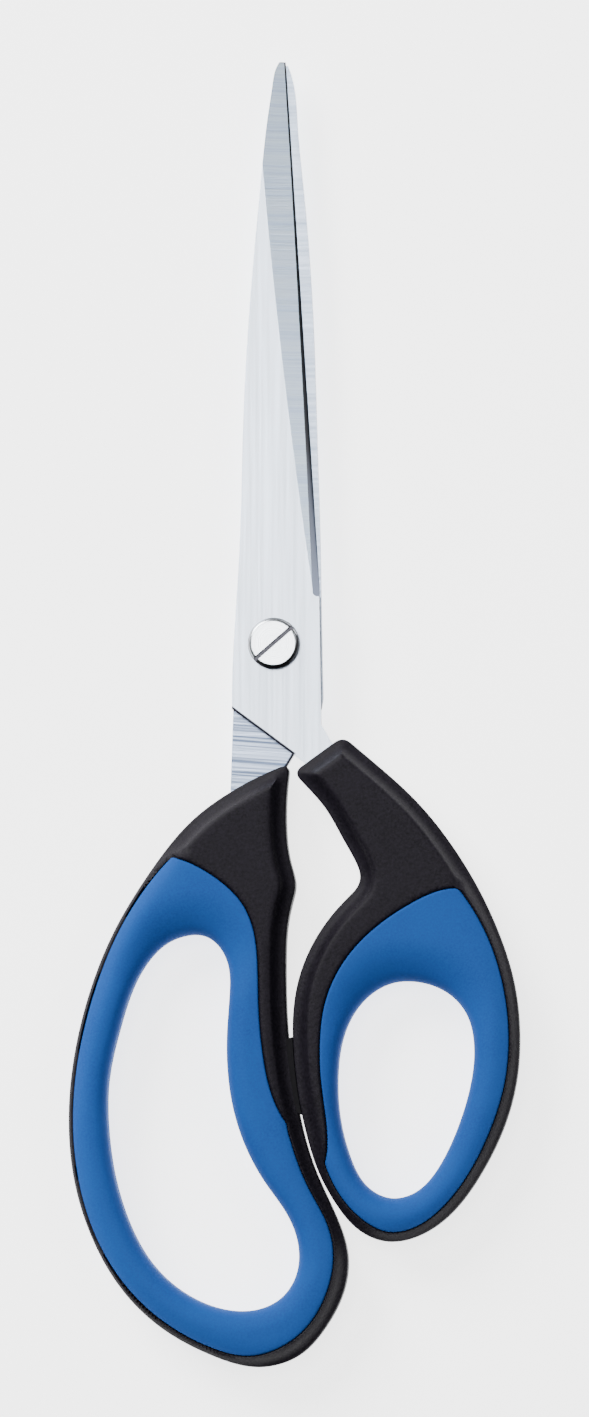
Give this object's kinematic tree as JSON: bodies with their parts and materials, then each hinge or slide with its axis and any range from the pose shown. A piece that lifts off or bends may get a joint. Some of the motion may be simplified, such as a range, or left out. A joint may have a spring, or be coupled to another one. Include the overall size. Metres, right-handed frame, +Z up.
{
  "type": "office scissors",
  "caption": "Long straight office scissors: ground steel blades turning on a slotted screw, hard black handles with soft blue grips round a large finger loop and a smaller thumb loop.",
  "frame": {"origin": "centre of the closed scissors' footprint, on the surface they lie on", "axes": "+Y towards the blade tips, +Z up through the thickness along the pivot axis, +X towards the thumb loop's side"},
  "size_m": [0.0878, 0.2546, 0.013],
  "materials": {
    "blade_steel": "fine satin with crosswise grinding marks on the bevels",
    "screw_steel": "bright turned",
    "plated_steel": "nickel plated",
    "hard_plastic": "fine spark-eroded grain",
    "soft_grip": "soft-touch matt",
    "buffer_rubber": "matt"
  },
  "bodies": {
    "finger_half": {"back_blade": "blade_steel", "finger_handle": "hard_plastic", "finger_grip": "soft_grip", "stop_buffer": "buffer_rubber", "pivot_screw": "screw_steel", "head_washer": "plated_steel", "spring_washer": "plated_steel", "pivot_nut": "plated_steel"},
    "thumb_half": {"front_blade": "blade_steel", "thumb_handle": "hard_plastic", "thumb_grip": "soft_grip"}
  },
  "joints": [
    {"name": "blade_pivot", "type": "hinge", "parent": "finger_half", "child": "thumb_half", "pos_m": [-0.00395, 0.0133, 0.0065], "axis": [0, 0, 1], "range_deg": [0, 100]}
  ]
}
